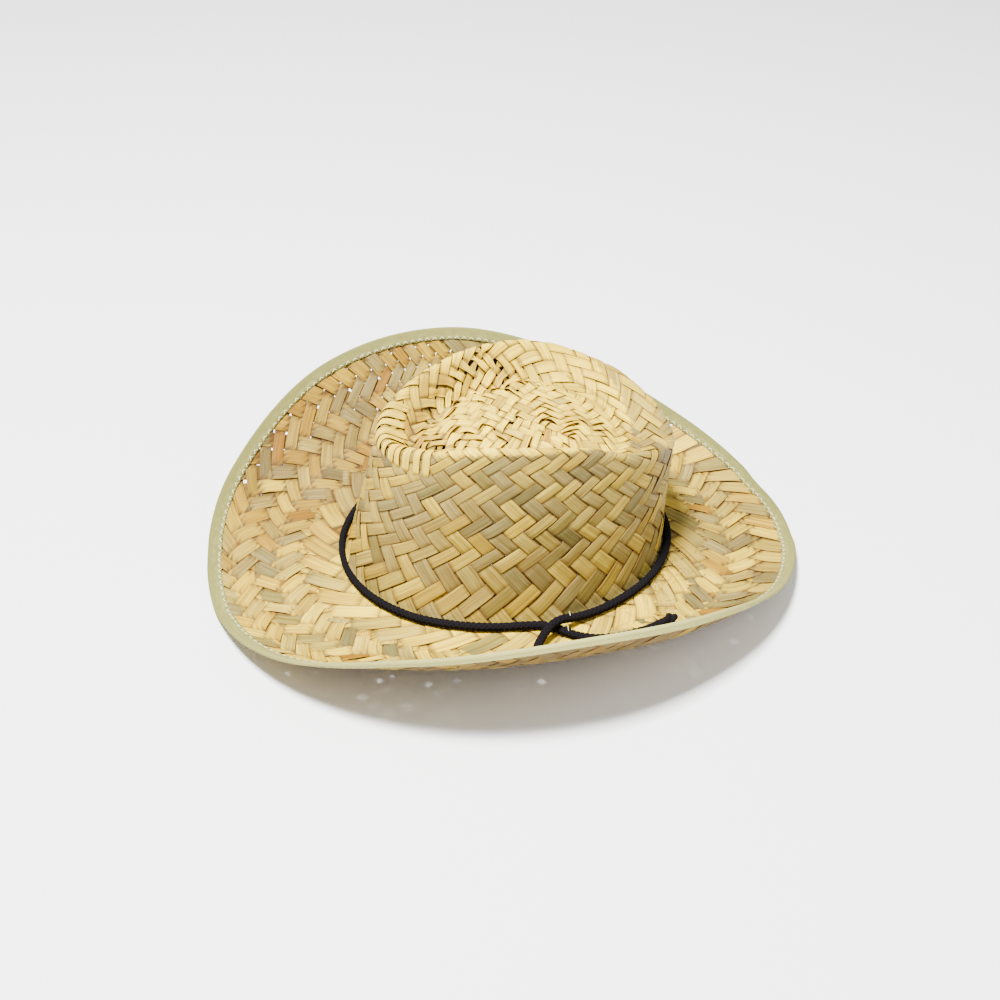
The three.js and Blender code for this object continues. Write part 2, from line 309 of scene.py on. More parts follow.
def set_points(mesh, points):
    mesh.vertices.foreach_set("co", np.ascontiguousarray(points, dtype=np.float32).ravel())
    mesh.update()


def set_attribute(mesh, name, values):
    kind = "FLOAT" if values.ndim == 1 else "FLOAT_VECTOR"
    layer = mesh.attributes.new(name, kind, "POINT")
    key = "value" if kind == "FLOAT" else "vector"
    layer.data.foreach_set(key, np.ascontiguousarray(values, dtype=np.float32).ravel())


def shade_smooth(mesh):
    mesh.polygons.foreach_set("use_smooth", np.ones(len(mesh.polygons), bool))


def frames_along(line):
    """Directions along a line and two square to it, carried on without twisting."""
    along = unit(np.gradient(line, axis=0))
    side = np.zeros_like(along)
    side[0] = unit(np.cross(along[0], (0, 0, 1)))
    for i in range(1, len(line)):
        side[i] = unit(side[i - 1] - along[i] * np.dot(side[i - 1], along[i]))
    return along, side, np.cross(along, side)


def tube(made, line, radius, sides):
    """A closed round tube along a line; radius may change from point to point."""
    along, side, up = frames_along(line)
    radius = np.broadcast_to(radius, (len(line),))
    angles = np.arange(sides) / sides * 2 * np.pi
    rings = []
    for p, s, u, r in zip(line, side, up, radius):
        rings.append([made.verts.new(p + r * (math.cos(a) * s + math.sin(a) * u)) for a in angles])
    for low, high in zip(rings, rings[1:]):
        for j in range(sides):
            k = (j + 1) % sides
            made.faces.new((low[j], low[k], high[k], high[j]))
    made.faces.new(rings[0][::-1])
    made.faces.new(rings[-1])


def finished(made, name, material, slot, *nodes):
    """A smooth piece from a bmesh."""
    bmesh.ops.recalc_face_normals(made, faces=made.faces)
    mesh = bpy.data.meshes.new(name)
    made.to_mesh(mesh)
    made.free()
    shade_smooth(mesh)
    return link(name, mesh, material, slot, *nodes)


# Materials, with colours as linear light

STRAW_TONES = [
    (0.0, (0.165, 0.150, 0.050)),
    (0.2, (0.262, 0.220, 0.078)),
    (0.4, (0.376, 0.298, 0.094)),
    (0.58, (0.52, 0.365, 0.034)),
    (0.72, (0.60, 0.385, 0.036)),
    (0.86, (0.48, 0.275, 0.014)),
    (1.0, (0.31, 0.140, 0.006)),
]
STRAW_PALE = (0.98, 0.71, 0.042, 1)
# Brown at the strips' rims: partly their own edge colour, partly painted shade along their edges
STRAW_RIM_AND_EDGE_SHADE = (0.22, 0.10, 0.02, 1)
# Dark brown mixed in by the darkness in straw_look: random darkness, dark spots, and painted shade
STRAW_DARK_AND_SHADE = (0.085, 0.045, 0.012, 1)
BROAD_STREAKS = [(0.3, (0.66, 0.62, 0.50)), (0.68, (1.14, 1.14, 1.12))]
FINE_STREAKS = [(0.32, (0.58, 0.51, 0.40)), (0.62, (1.1, 1.1, 1.1))]
STREAK_LENGTH = 0.02
RIM_START = 0.86
RIM_STRENGTH = 5.5
TAPE_BLOTCHES = [(0.35, (0.12, 0.115, 0.033)), (0.5, (0.20, 0.19, 0.056)), (0.66, (0.32, 0.30, 0.10))]
# Painted shade on the tape towards its fold round the brim's edge
TAPE_FOLD_SHADE = (0.16, 0.15, 0.04, 1)
# Painted light: the tape's colour where it is lit more
TAPE_PAINTED_LIGHT = (0.60, 0.56, 0.19, 1)
TAPE_SHADED = (0.20, 0.19, 0.05, 1)
TAPE_BLOTCHES_PER_METRE = (140, 500, 1)
RIB_PITCH = 0.0011
YARN_PITCH = 0.0008


def feed(tree, socket, value):
    """Join a socket to another one, or set it to a value."""
    if isinstance(value, bpy.types.NodeSocket):
        tree.links.new(value, socket)
    else:
        socket.default_value = value


def new_group(name, inputs, outputs):
    """A node group with its inputs and outputs."""
    group = bpy.data.node_groups.new(name, "ShaderNodeTree")
    for label, kind, value in inputs:
        socket = group.interface.new_socket(label, in_out="INPUT", socket_type=kind)
        if value is not None:
            socket.default_value = value
    for label, kind in outputs:
        group.interface.new_socket(label, in_out="OUTPUT", socket_type=kind)
    return group, group.nodes.new("NodeGroupInput"), group.nodes.new("NodeGroupOutput")


def add(tree, kind, settings=None, **sockets):
    """A node, with its settings and with its sockets set to values or joined to other sockets."""
    made = tree.nodes.new(kind)
    for key, value in (settings or {}).items():
        setattr(made, key, value)
    for key, value in sockets.items():
        feed(tree, made.inputs[key.replace("_", " ")], value)
    return made


def maths(tree, operation, *values):
    made = tree.nodes.new("ShaderNodeMath")
    made.operation = operation
    for socket, value in zip(made.inputs, values):
        feed(tree, socket, value)
    return made.outputs[0]


def mix_colour(tree, share, first, second, blend_type="MIX"):
    """Two colours mixed. The colour sockets of a Mix node come after those for numbers and vectors."""
    made = tree.nodes.new("ShaderNodeMix")
    made.data_type = "RGBA"
    made.blend_type = blend_type
    for number, value in ((0, share), (6, first), (7, second)):
        feed(tree, made.inputs[number], value)
    return made.outputs[2]


def attribute(tree, name):
    """The three numbers of a piece's attribute, as a vector and apart."""
    vector = add(tree, "ShaderNodeAttribute", {"attribute_name": name}).outputs["Vector"]
    return vector, add(tree, "ShaderNodeSeparateXYZ", Vector=vector).outputs


def ramp(tree, share, stops):
    """A range of colours, given as (place, colour)."""
    made = tree.nodes.new("ShaderNodeValToRGB")
    tree.links.new(share, made.inputs[0])
    elements = made.color_ramp.elements
    while len(elements) < len(stops):
        elements.new(0.5)
    for element, (place, colour) in zip(elements, stops):
        element.position = place
        element.color = (*colour, 1)
    return made.outputs[0]


def grain_group():
    """Fine and broad streaks that run along a strip."""
    inputs = [
        ("Run", "NodeSocketVector", None),
        ("Streaks", "NodeSocketFloat", 9.0),
        ("Length", "NodeSocketFloat", STREAK_LENGTH),
    ]
    outputs = [("Fine", "NodeSocketFloat"), ("Broad", "NodeSocketFloat")]
    group, inside, outside = new_group("straw grain", inputs, outputs)
    split = add(group, "ShaderNodeSeparateXYZ", Vector=inside.outputs["Run"])
    seed = maths(group, "MULTIPLY", split.outputs[2], 70)
    along = maths(group, "DIVIDE", split.outputs[0], inside.outputs["Length"])
    across = maths(group, "MULTIPLY", split.outputs[1], inside.outputs["Streaks"])
    for label, scale, detail in (("Fine", 1.0, 4.0), ("Broad", 0.22, 2.0)):
        x, y = maths(group, "MULTIPLY", across, scale), maths(group, "MULTIPLY", along, scale)
        place = add(group, "ShaderNodeCombineXYZ", X=x, Y=y, Z=seed).outputs[0]
        noise = add(group, "ShaderNodeTexNoise", Vector=place, Scale=1.0, Detail=detail, Roughness=0.6)
        group.links.new(noise.outputs["Fac"], outside.inputs[label])
    return group


GRAIN = grain_group()


def straw_material():
    """Straw, whose colour follows its attribute and holds painted shade, streaked along each strip and darker
    at its rims, partly their brown edges and partly painted shade.
    """
    material = bpy.data.materials.new("straw")
    material.use_nodes = True
    tree = material.node_tree
    shader = tree.nodes["Principled BSDF"]
    run, places = attribute(tree, "straw_run")
    _, looks = attribute(tree, "straw_look")
    grain = tree.nodes.new("ShaderNodeGroup")
    grain.node_tree = GRAIN
    tree.links.new(run, grain.inputs["Run"])
    pale = mix_colour(tree, looks[1], ramp(tree, looks[0], STRAW_TONES), STRAW_PALE)
    streaked = mix_colour(tree, 1.0, pale, ramp(tree, grain.outputs["Broad"], BROAD_STREAKS), "MULTIPLY")
    streaked = mix_colour(tree, 1.0, streaked, ramp(tree, grain.outputs["Fine"], FINE_STREAKS), "MULTIPLY")
    # Darker rims: partly the strips' brown edges, partly painted shade where one strip's edge meets the next
    beyond = maths(tree, "SUBTRACT", maths(tree, "ABSOLUTE", places[1]), RIM_START)
    rim = maths(tree, "SMOOTH_MIN", maths(tree, "MAXIMUM", beyond, 0.0), 1 - RIM_START, 0.02)
    edged = mix_colour(tree, maths(tree, "MULTIPLY", rim, RIM_STRENGTH), streaked, STRAW_RIM_AND_EDGE_SHADE)
    # Mixed towards dark brown: random darkness and dark spots, and painted shade where floats dip under,
    # along the crease and in shaded regions
    darkened_and_shaded = mix_colour(tree, looks[2], edged, STRAW_DARK_AND_SHADE)
    tree.links.new(darkened_and_shaded, shader.inputs["Base Color"])
    shader.inputs["Roughness"].default_value = 0.52
    shader.inputs["Specular IOR Level"].default_value = 0.1
    bump = add(tree, "ShaderNodeBump", Strength=0.5, Distance=0.0004, Height=grain.outputs["Fine"])
    tree.links.new(bump.outputs[0], shader.inputs["Normal"])
    return material


def plain_material(name, colour, roughness):
    material = bpy.data.materials.new(name)
    material.use_nodes = True
    shader = material.node_tree.nodes["Principled BSDF"]
    shader.inputs["Base Color"].default_value = (*colour, 1)
    shader.inputs["Roughness"].default_value = roughness
    return material


def tape_material():
    """Woven tape: fine ribs across it, soft blotches, painted shade towards its fold round the brim's edge
    and painted light on the near side.
    """
    material = plain_material("tape", (0.40, 0.385, 0.10), 0.9)
    tree = material.node_tree
    shader = tree.nodes["Principled BSDF"]
    run, places = attribute(tree, "tape_run")
    ribs = maths(tree, "SINE", maths(tree, "MULTIPLY", places[0], 2 * math.pi / RIB_PITCH))
    yarns = maths(tree, "SINE", maths(tree, "MULTIPLY", places[1], 2 * math.pi / YARN_PITCH))
    weave = maths(tree, "MULTIPLY_ADD", maths(tree, "MULTIPLY", ribs, yarns), 0.5, 0.5)
    place = add(tree, "ShaderNodeVectorMath", {"operation": "MULTIPLY"}, Vector=run)
    place.inputs[1].default_value = TAPE_BLOTCHES_PER_METRE
    noise = add(tree, "ShaderNodeTexNoise", Vector=place.outputs[0], Scale=1.0, Detail=5.0, Roughness=0.7)
    blotched = ramp(tree, noise.outputs["Fac"], TAPE_BLOTCHES)
    # Painted shade: darker towards the fold round the brim's edge
    from_fold = maths(tree, "ABSOLUTE", maths(tree, "SUBTRACT", places[1], TAPE_DEPTH))
    edge = maths(tree, "SMOOTH_MIN", maths(tree, "DIVIDE", from_fold, 0.007), 1.0, 0.1)
    fold_shaded = mix_colour(tree, edge, TAPE_FOLD_SHADE, blotched)
    # Painted light on the near side and a little on the far side, from the third number of tape_run
    painted_lit = mix_colour(tree, places[2], fold_shaded, TAPE_PAINTED_LIGHT)
    shaded = mix_colour(tree, maths(tree, "MULTIPLY", weave, 0.25), painted_lit, TAPE_SHADED)
    tree.links.new(shaded, shader.inputs["Base Color"])
    shader.inputs["Specular IOR Level"].default_value = 0.1
    bump = add(tree, "ShaderNodeBump", Strength=0.6, Distance=0.0003, Height=weave)
    tree.links.new(bump.outputs[0], shader.inputs["Normal"])
    return material


STRAW = straw_material()
TAPE = tape_material()
THREAD = plain_material("thread", (0.62, 0.60, 0.36), 0.9)
CORD = plain_material("cord", (0.006, 0.005, 0.006), 0.9)
CORD.node_tree.nodes["Principled BSDF"].inputs["Specular IOR Level"].default_value = 0.04

# The weave: each strip passes over two strips and under two, and every other row leans the same way

MAT_HALF = 10
MAT_SQUEEZE, MAT_STRETCH = 0.85, 1.1
CROWN_COUNT = 4 * MAT_HALF
CROWN_END = 39.9
BRIM_COUNT = 2 * CROWN_COUNT
STRIP_THICKNESS = 0.0004
WEAVE_HALF = 0.00045
ACROSS = [-1.0, -0.86, 0.0, 0.86, 1.0]
CROWN_STRIP_HALF = 0.468
BRIM_STRIP_HALF = 0.488
CROWN_PITCH = 0.0068
BRIM_PITCH = 0.0095
CROWN_SECTION = 0.187
BRIM_START = 0.012
BRIM_COVERED = 0.027
BRIM_TUCK = 0.0012
WRAPS = 11
WRAPPED = (159, 214)
WRAP_LENGTH = 0.03

# Shares of the crown's section at which the rows of its wall begin, from inside the fold downwards

CROWN_ROWS_AT = [
    0.40, 0.44, 0.485, 0.53, 0.579, 0.6325, 0.6885,
    0.741, 0.798, 0.869, 0.95, 1.035, 1.139, 1.23,
]
CROWN_CROSSINGS = [0, 10, *(15.5 + 2 * i for i in range(14))]
CROWN_SHARES = [0, 0.257, *CROWN_ROWS_AT]

# Millimetres from the foot of the crown at which the rows of the brim begin, behind and in front

BRIM_ROWS_BEHIND = [0, 26, 43.5, 56, 69.5, 82.5, 96, 110, 124]
BRIM_ROWS_BEFORE = [-24, 0, 26, 42, 59, 80, 98, 114, 128]

# How far the brim's weave turns with distance, every 30 degrees from the front

BRIM_SKEW = [-0.1, -0.08, 0, 0, 0.15, 0.12, -0.05, -0.13, -0.1, 0, 0, -0.08]
WALL_TWIST = 0.1

# Places with narrower strips and gaps: azimuth, share of the section, widths in both, and amount

THIN = [
    (94, 0.362, 5.5, 0.016, 0.62),
    (101.5, 0.338, 5.5, 0.016, 0.62),
    (84, 0.312, 5.5, 0.015, 0.6),
    (77.5, 0.275, 5.5, 0.015, 0.5),
    (135.5, 0.321, 4, 0.012, 0.42),
    (191, 0.279, 6, 0.012, 0.42),
    (290, 0.045, 25, 0.02, 0.25),
    (163, 0.44, 5, 0.02, 0.26),
    (172, 0.425, 5, 0.02, 0.26),
    (182, 0.395, 5, 0.02, 0.26),
    (333.5, 0.529, 3, 0.012, 0.3),
]

# Painted shade along the crease where the floor of the dent meets its front wall: azimuths and shares of the
# section

CREASE_SHADE = [(-12, 0.437), (0, 0.438), (17.5, 0.433), (29.5, 0.408), (39, 0.396), (52, 0.384)]

# Dark spots: azimuth, share of the section, their widths in both, and strength

DARK_SPOTS = [
    (270.7, 0.689, 2.6, 0.010, 0.62),
    (288.6, 0.731, 3.0, 0.011, 0.5),
    (300.5, 0.789, 2.2, 0.010, 0.4),
    (283.0, 0.700, 2.0, 0.006, 0.35),
    (333.5, 0.529, 1.8, 0.007, 0.9),
    (186, 0.435, 24, 0.045, 0.85),
]


def base_turns():
    """Shares of a turn at even distances round the foot of the crown."""
    azimuth = np.linspace(0, 360, AZIMUTHS + 1)
    run = run_along(around(azimuth, base_radius(azimuth), 0.0))
    return run / run[-1], azimuth / 360


EVEN_RUN, EVEN_TURN = base_turns()
BRIM_LENGTHS = np.linalg.norm(np.diff(SURFACE[:, CROWN_ROWS:], axis=1), axis=-1).sum(axis=1)


def quarter_of(x, y):
    """Quarter of the lattice, from 0 to 3, that a point is in."""
    return np.where(y >= 0, np.where(x >= 0, 0, 1), np.where(x < 0, 2, 3))


def crown_place(x, y, quarter):
    """Turn and section share of a point of the lattice, which runs square in the middle of the crown.
    quarter is the one that the point's strip is in, which its edges may just leave."""
    turned_x = np.choose(quarter, [x, y, -x, -y])
    turned_y = np.choose(quarter, [y, -x, -y, x])
    distance = turned_x + turned_y
    ring = np.clip(distance, 0.3, MAT_HALF)
    angle = (quarter + 0.5 + (turned_y - turned_x) / 2 / ring) / 4 * 2 * np.pi
    a = np.clip((x + y) / MAT_HALF, -1, 1)
    b = np.clip((y - x) / MAT_HALF, -1, 1)
    disc = (a * np.sqrt(1 - b * b / 2), b * np.sqrt(1 - a * a / 2))
    half = math.sqrt(0.5)
    disc_x = (disc[0] * MAT_SQUEEZE - disc[1] * MAT_STRETCH) * half
    disc_y = (disc[0] * MAT_SQUEEZE + disc[1] * MAT_STRETCH) * half
    share = np.clip(distance / MAT_HALF, 0, 1) ** 1.2
    mixed_x = disc_x * (1 - share) + ring / MAT_HALF * np.cos(angle) * share
    mixed_y = disc_y * (1 - share) + ring / MAT_HALF * np.sin(angle) * share
    inside = distance < MAT_HALF
    reach = np.where(inside, np.hypot(mixed_x, mixed_y) * MAT_HALF, distance)
    turn = np.where(inside, np.arctan2(mixed_y, mixed_x), angle) / (2 * np.pi) - 0.125
    turn = turn - WALL_TWIST * np.clip(distance - 15, 0, None) / CROWN_COUNT
    turn = np.interp(turn % 1, EVEN_RUN, EVEN_TURN)
    share = np.interp(reach, CROWN_CROSSINGS, CROWN_SHARES)
    return turn, np.where(share > 1, 1 + (share - 1) * CROWN_SECTION / brim_length(turn), share)


def brim_run(turn, crossing):
    """Distance out from the foot of the crown of a place in the brim's weave."""
    azimuth = (turn % 1) * 360
    before = 1 - eased((np.minimum(azimuth, 360 - azimuth) - 40) / 55)
    rows = 2.0 * np.arange(len(BRIM_ROWS_BEHIND))
    behind = np.interp(crossing, rows, BRIM_ROWS_BEHIND)
    return (behind * (1 - before) + np.interp(crossing, rows, BRIM_ROWS_BEFORE) * before) / 1000


def brim_turn(place, crossing):
    """Turn of a place in the brim's weave, counted in strips round the hat."""
    turn = place / BRIM_COUNT
    return turn - joined(BRIM_SKEW, turn * 360) * crossing / BRIM_COUNT


def turn_at(first, lean, along):
    """Azimuth of a brim strip's middle line."""
    return brim_turn(first + lean * along / 2, along) % 1 * 360


def brim_length(turn):
    """Length of the brim's section."""
    return BRIM_LENGTHS[np.round((turn % 1) * AZIMUTHS).astype(int) % AZIMUTHS]


def wobble(local, values, step):
    """Smooth random numbers from -1 to 1 along each row of values, a new one at every step."""
    place = (values - values.min()) / step
    table = local.uniform(-1, 1, (len(values), int(place.max()) + 3))
    first = np.floor(place).astype(int)
    t = eased(place - first)
    low = np.take_along_axis(table, first, 1)
    return low * (1 - t) + np.take_along_axis(table, first + 1, 1) * t


def passing(along, side):
    """1 where a strip lies over the others and -1 where it lies under. side says which at each crossing."""
    crossing = np.floor(along - 0.5)
    t = eased((along - 0.5 - crossing - 0.2) / 0.6)
    return side(crossing + 0.5) * (1 - t) + side(crossing + 1.5) * t


def spots(places, azimuth, share):
    """The strongest of some round spots at each place."""
    found = np.zeros(np.broadcast(azimuth, share).shape)
    for place, level, wide, high, strength in places:
        spot = hump(from_front(azimuth - place), 0, wide) * hump(share, level, high)
        found = np.maximum(found, strength * spot)
    return found


def straw_look(local, rows, turn, share, over):
    """Colour of each float: its place in the range of straw colours, its paleness, and how dark it is: at
    random, at dark spots, and with painted shade where it dips under another, along the dent's crease and in
    some regions."""
    azimuth = (turn % 1) * 360
    away = from_front(azimuth)
    top, brim = share < 0.43 + 0.07 * hump(away, 40, 50), share >= 1
    wall = ~top & ~brim

    def by_region(on_top, on_brim, on_wall):
        return np.where(top, on_top, np.where(brim, on_brim, on_wall))

    # Regions whose colour is partly the straw's own and partly painted shade: near, front, the golden mask
    # and outer darken the near wall, the brim's front, the far brim towards the back and the near brim's
    # underside, and left darkens the dent towards the back
    near, golden_and_shade, side = hump(azimuth, 268, 62), hump(azimuth, 135, 45), hump(azimuth, 215, 40)
    front = hump(away, -8, 38)
    foot = hump(azimuth, 305, 32) * hump(share, 0.92, 0.2)
    left = hump(azimuth, 165, 40) * hump(share, 0.34, 0.08)
    root = np.clip(1 - (share - 1) / 0.4, 0, 1)
    outer = hump(azimuth, 275, 42) * np.clip((share - 1.5) / 0.2, 0, 1)
    brim_tone = 0.50 + 0.12 * golden_and_shade - 0.10 * near - 0.12 * front - 0.2 * outer
    tone = by_region(0.60 + 0.1 * left, brim_tone, 0.38 - 0.07 * near - 0.12 * foot)
    brim_pale = 0.28 - 0.45 * golden_and_shade - 0.22 * front + 0.1 * side + (0.35 + 0.25 * side) * root - 0.4 * outer
    pale = by_region(0.92 - 0.8 * left, brim_pale, 0.18 - 0.08 * near)
    number = (rows - rows.min()).astype(int)
    count = len(turn), number.max() + 1
    strip_tone, strip_pale = local.normal(0, 0.12, (len(turn), 1)), local.normal(0, 0.12, (len(turn), 1))
    float_tone, float_pale = local.normal(0, 0.17, count), local.normal(0, 0.25, count)
    float_shade = np.abs(local.normal(0, 0.1, count))
    float_tone, float_pale, float_shade = (
        np.take_along_axis(values, number, 1) for values in (float_tone, float_pale, float_shade)
    )
    tone = tone + (strip_tone + float_tone) * by_region(0.7, 1.4, 0.75)
    pale = pale + (strip_pale + float_pale) * np.where(wall, 0.75, 1.4)
    dark = float_shade * np.where(top, 0.4, 1)
    # Painted shade, partly the straw's own darker colour, in the dent towards the back and on the brim's far
    # back, front and near underside; the walls and brim are also a little darker overall
    dark = dark + by_region(0.35 * left, 0.08 + 0.32 * golden_and_shade + 0.16 * front + 0.15 * outer, 0.16)
    # Painted shade where a float dips under the strip that crosses it; lowest takes some of it back off the
    # underside, where the lowest strips show
    dip_shade = np.clip(by_region(0.9, 0.7, 0.45) - 0.9 * over, 0, 1)
    lowest = np.clip(-2.5 * over - 1.2, 0, 1)
    dark = np.maximum(dark + 0.85 * dip_shade - 0.4 * lowest, spots(DARK_SPOTS, azimuth, share))
    # Painted shade along the dent's crease, fading out at both ends
    crease = np.interp(away, *np.array(CREASE_SHADE).T)
    ends = np.clip((away - CREASE_SHADE[0][0]) / 10, 0, 1) * np.clip((CREASE_SHADE[-1][0] - away) / 10, 0, 1)
    dark = np.maximum(dark, 0.75 * ends * hump(share, crease, 0.0045))
    return np.stack([np.clip(tone, 0.02, 0.98), np.clip(pale, 0, 1), dark], -1)


def streaks(local, along, across):
    """What the grain reads: metres along a strip, the place across it, and a number of its own."""
    return np.stack([along, across, np.broadcast_to(local.uniform(size=(len(along), 1)), along.shape)], -1)


def strips(name, count, rows, lay):
    """Strips in one piece. lay gives, for their places across and along, their points and attributes."""
    mesh, places = grid_mesh(name, len(ACROSS) - 1, rows, count)
    across = np.interp(places[..., 0], np.linspace(0, 1, len(ACROSS)), ACROSS)
    points, run, look = lay(across, places[..., 1])
    set_points(mesh, points)
    set_attribute(mesh, "straw_run", run)
    set_attribute(mesh, "straw_look", look)
    shade_smooth(mesh)
    piece = link(name, mesh, STRAW, "straw", "straw_body")
    solid = piece.modifiers.new("thickness", "SOLIDIFY")
    solid.thickness = STRIP_THICKNESS
    solid.offset = 0


def raised(local, over, across, along, rough):
    """Height of a strip's points over the middle of the weave, rough being 1 where it is crumpled."""
    up = np.clip(over, 0, 1)
    bulge = 0.0002 * (1 + wobble(local, along, 2.0)) * up * (1 - across**2)
    tilt = (0.0004 + 0.0012 * rough) * across * wobble(local, along, 2.0) * up
    fold = 0.0007 * rough * wobble(local, along, 0.8)
    return WEAVE_HALF * over + bulge + tilt + fold + 0.00015 * wobble(local, along, 3.0)


def crown_strips(name, kind):
    """Strips of the crown that run one way, of kind 0 or 1: each crosses the top and goes down the wall at
    both ends."""
    local = np.random.default_rng(21 + kind)

    def lay(across, place):
        line = (np.arange(2 * MAT_HALF) - MAT_HALF + 0.5)[:, None]
        along = (place * 2 - 1) * (CROWN_END - np.abs(line))
        distance = np.abs(along) + np.abs(line)
        middle = np.broadcast_to(line, along.shape)
        quarter = quarter_of(middle, along) if kind == 0 else quarter_of(along, middle)
        turn, share = crown_place(*((middle, along) if kind == 0 else (along, middle)), quarter)
        before = hump(from_front(turn * 360 - 20), 0, 40)
        rough = np.clip((14.5 - distance) / 2, 0, 1) * (1 - 0.8 * before)
        width = CROWN_STRIP_HALF + local.uniform(-0.025, 0.01, line.shape) - 0.05 * rough
        width = width + (0.02 + 0.06 * rough) * wobble(local, along, 2.5)
        shifted = line + (0.07 + 0.07 * rough) * wobble(local, along, 2.1) + across * width
        shifted = shifted - across * width * spots(THIN, turn * 360, share)
        x, y = (shifted, along) if kind == 0 else (along, shifted)
        turn, share = crown_place(x, y, quarter)
        at, normal = on_surface(turn, share)

        def side(crossing):
            even = np.floor((np.abs(crossing) + np.abs(line)) / 2 + 0.01) % 2 == 0
            return np.where(even == (crossing * line > 0), 1.0, -1.0) * (1 if kind == 0 else -1)

        over = passing(along, side)
        lift = raised(local, over, across, along, rough)
        number = np.floor((distance + 0.5) / 2) * np.where(along > 0, 1, -1)
        run = streaks(local, along * CROWN_PITCH, across)
        return at + normal * lift[..., None], run, straw_look(local, number, turn, share, over)

    strips(name, 2 * MAT_HALF, 312, lay)


def brim_strips(name, lean):
    """Strips of the brim that lean one way, from the foot of the crown to under the tape."""
    local = np.random.default_rng(31 + lean)

    def lay(across, place):
        first = np.arange(BRIM_COUNT)[:, None] + 0.25 * lean
        table = np.linspace(0, 14, 281)[None]
        turn = brim_turn(first + lean * table / 2, table)
        run = brim_run(turn, table)
        start = np.array([np.interp(BRIM_START, r, table[0]) for r in run])[:, None]
        room = run - brim_length(turn) + BRIM_TUCK
        end = np.array([np.interp(0, r, table[0]) for r in room])[:, None]
        along = start + place * (end - start)
        width = BRIM_STRIP_HALF - 0.0032 * np.clip(along - 4, 0, 6) + local.uniform(-0.02, 0.01, first.shape)
        width = width + 0.03 * wobble(local, along, 2.5)
        open_row = hump(turn_at(first, lean, along), 130, 38) * np.clip(1.4 - np.abs(along - 9.7), 0, 1)
        width = width - 0.07 * local.uniform(0, 1, first.shape) * open_row
        shifted = first + lean * along / 2 + 0.08 * wobble(local, along, 2.1) + across * width
        turn = brim_turn(shifted, along)
        share = 1 + brim_run(turn, along) / brim_length(turn)
        at, normal = on_surface(turn, share)

        def side(crossing):
            return np.where(np.floor(crossing / 2) % 2 == 1, 1.0, -1.0) * lean

        under = np.clip((BRIM_COVERED - brim_run(turn, along)) / 0.006, 0, 1)
        over = passing(along + lean * across * width, side)
        lift = raised(local, over, across, along, 0.25) - 0.001 * under
        run = streaks(local, along * BRIM_PITCH, across)
        return at + normal * lift[..., None], run, straw_look(local, np.floor(along / 2), turn, share, over)

    strips(name, BRIM_COUNT, 50, lay)


crown_strips("crown_strips_one_way", 0)
crown_strips("crown_strips_other_way", 1)
brim_strips("brim_strips_one_way", 1)
brim_strips("brim_strips_other_way", -1)


def wrapping_strips():
    """Strips that wrap over the fold at the back, side by side with gaps between them."""
    local = np.random.default_rng(77)
    count = WRAPS

    def lay(across, place):
        first = np.linspace(*WRAPPED, count)[:, None] + local.uniform(-1, 1, (count, 1))
        lean = np.linspace(-8, -3, count)[:, None]
        azimuth = first + lean * (place - 0.5) + local.uniform(-2, 2, (count, 1)) * (place - 0.5) ** 2
        share = 0.515 - place * local.uniform(0.14, 0.165, (count, 1))
        half = local.uniform(1.75, 2.1, (count, 1)) * (1 - 0.25 * (2 * place - 1) ** 4)
        at, normal = on_surface((azimuth + across * half) / 360, share)
        ends = np.clip(np.minimum(place, 1 - place) / 0.12, 0, 1)
        lift = 0.0013 * ends - 0.0004 * (1 - ends) + 0.0004 * (1 - across**2)
        lift = lift + 0.0005 * across * wobble(local, place * 6, 2.0)
        run = streaks(local, place * WRAP_LENGTH, across)
        tone = np.broadcast_to(local.uniform(0.42, 0.62, (count, 1)), place.shape)
        pale = np.broadcast_to(local.uniform(0.45, 0.95, (count, 1)), place.shape)
        # Painted shade at both ends of each strip, where it tucks under the weave
        look = np.stack([tone, pale, 0.7 * (1 - ends)], -1)
        return at + normal * lift[..., None], run, look

    strips("wrapping_strips", count, 24, lay)


wrapping_strips()

# The binding: a tape folded over the brim's edge, and its thread

TAPE_INSIDE = 0.0009
TAPE_OUTSIDE = 0.00135
STITCHES = 400
STITCH_RADIUS = 0.00026
STITCH_HEIGHTS = (0.0015, -0.0013)


def edge_place(azimuth, inward, height):
    """Points by the brim's edge, at a distance in from it and a height over the middle of the straw."""
    corners = section_corners(azimuth)
    edge = corners[-1]
    away = unit(corners[-2] - edge)
    upward = np.stack([away[..., 1], -away[..., 0]], -1)
    flat = edge + away * inward[..., None] + upward * height[..., None]
    return around(azimuth, flat[..., 0], flat[..., 1])


def binding_outline():
    """Outline of the folded tape as (distance in from the edge, height over the middle of the straw)."""
    outer = [(distance, TAPE_OUTSIDE) for distance in (TAPE_DEPTH, 0.0055, 0.0035, 0.0012)]
    fold = [(-0.0010 * math.sin(a), TAPE_OUTSIDE * math.cos(a)) for a in np.linspace(0.2, math.pi - 0.2, 7)]
    inner = [(distance, -TAPE_INSIDE) for distance in (TAPE_DEPTH, 0.003, 0.0002)]
    under, back = ([(d, -h) for d, h in reversed(side)] for side in (outer, inner))
    return np.array(outer + fold + under + inner + back)


